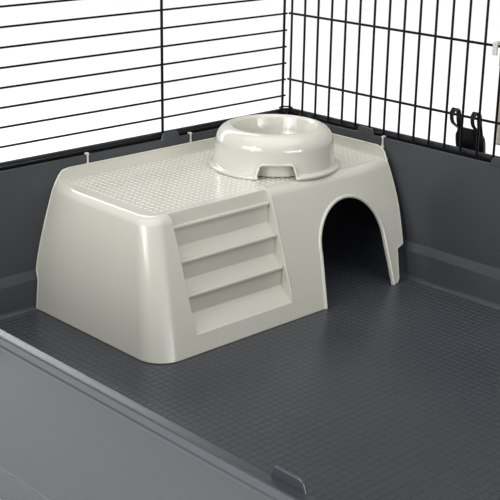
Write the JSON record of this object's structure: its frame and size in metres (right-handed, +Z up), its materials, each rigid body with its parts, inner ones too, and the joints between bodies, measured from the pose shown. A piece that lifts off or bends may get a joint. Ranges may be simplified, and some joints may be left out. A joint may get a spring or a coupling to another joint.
{
  "type": "rabbit hutch",
  "caption": "Indoor rabbit hutch: deep moulded tub, wire enclosure with folding front and side door, corner shelter with steps and arch, bowl and hay rack.",
  "frame": {"origin": "middle of the face that the hutch stands on", "axes": "+X along the length, towards the side door; +Y towards the back; +Z up"},
  "size_m": [1.0973, 0.7324, 0.4981],
  "materials": {
    "tub": "dark grey moulded plastic, satin walls and a finely ribbed floor",
    "wire": "black gloss coated steel wire",
    "clip": "black moulded plastic",
    "cream_plastic": "cream moulded plastic, glossy, with a cross-hatched platform"
  },
  "bodies": {
    "enclosure": {"tub": "tub", "back_panel": "wire", "left_panel": "wire", "right_panel": "wire", "roof_panel": "wire", "corner_rings_left": "wire", "corner_rings_right": "wire", "roof_rings_back": "wire", "roof_rings_left": "wire", "roof_rings_right": "wire", "side_door_rings": "wire"},
    "front_gate": {"front_panel": "wire", "front_hinge_rings": "wire"},
    "back_left_clip": {"back_clip_left": "clip"},
    "back_right_clip": {"back_clip_right": "clip"},
    "front_left_clip": {"front_clip_left": "clip"},
    "front_right_clip": {"front_clip_right": "clip"},
    "side_gate": {"side_door": "wire"},
    "door_latch": {"side_door_latch": "clip"},
    "shelter_unit": {"shelter": "cream_plastic"},
    "bowl_unit": {"bowl": "cream_plastic"},
    "hay_rack_unit": {"hay_rack": "cream_plastic"}
  },
  "joints": [
    {"name": "front_panel_hinge", "type": "hinge", "parent": "enclosure", "child": "front_gate", "pos_m": [0, -0.32355, 0.489], "axis": [1, 0, 0], "range_deg": [0, 270]},
    {"name": "back_left_clip_hinge", "type": "hinge", "parent": "enclosure", "child": "back_left_clip", "pos_m": [-0.27075, 0.336, 0.159], "axis": [-1, 0, 0], "range_deg": [0, 190]},
    {"name": "back_right_clip_hinge", "type": "hinge", "parent": "enclosure", "child": "back_right_clip", "pos_m": [0.27075, 0.336, 0.159], "axis": [-1, 0, 0], "range_deg": [0, 190]},
    {"name": "front_left_clip_hinge", "type": "hinge", "parent": "enclosure", "child": "front_left_clip", "pos_m": [-0.2598, -0.336, 0.159], "axis": [-1, 0, 0], "range_deg": [0, 190]},
    {"name": "front_right_clip_hinge", "type": "hinge", "parent": "enclosure", "child": "front_right_clip", "pos_m": [0.2598, -0.336, 0.159], "axis": [-1, 0, 0], "range_deg": [0, 190]},
    {"name": "side_door_hinge", "type": "hinge", "parent": "enclosure", "child": "side_gate", "pos_m": [0.5445, 0.1206, 0.325], "axis": [0, 0, 1], "range_deg": [0, 120]},
    {"name": "side_door_latch_slide", "type": "slide", "parent": "side_gate", "child": "door_latch", "axis": [0, -1, 0], "range_m": [0, 0.01]},
    {"name": "shelter_lift", "type": "slide", "parent": "enclosure", "child": "shelter_unit", "axis": [0, 0, 1], "range_m": [0, 0.11]},
    {"name": "bowl_lift", "type": "slide", "parent": "shelter_unit", "child": "bowl_unit", "axis": [0, 0, 1], "range_m": [0, 0.1]},
    {"name": "hay_rack_lift", "type": "slide", "parent": "enclosure", "child": "hay_rack_unit", "axis": [0, 0, 1], "range_m": [0, 0.02]}
  ]
}
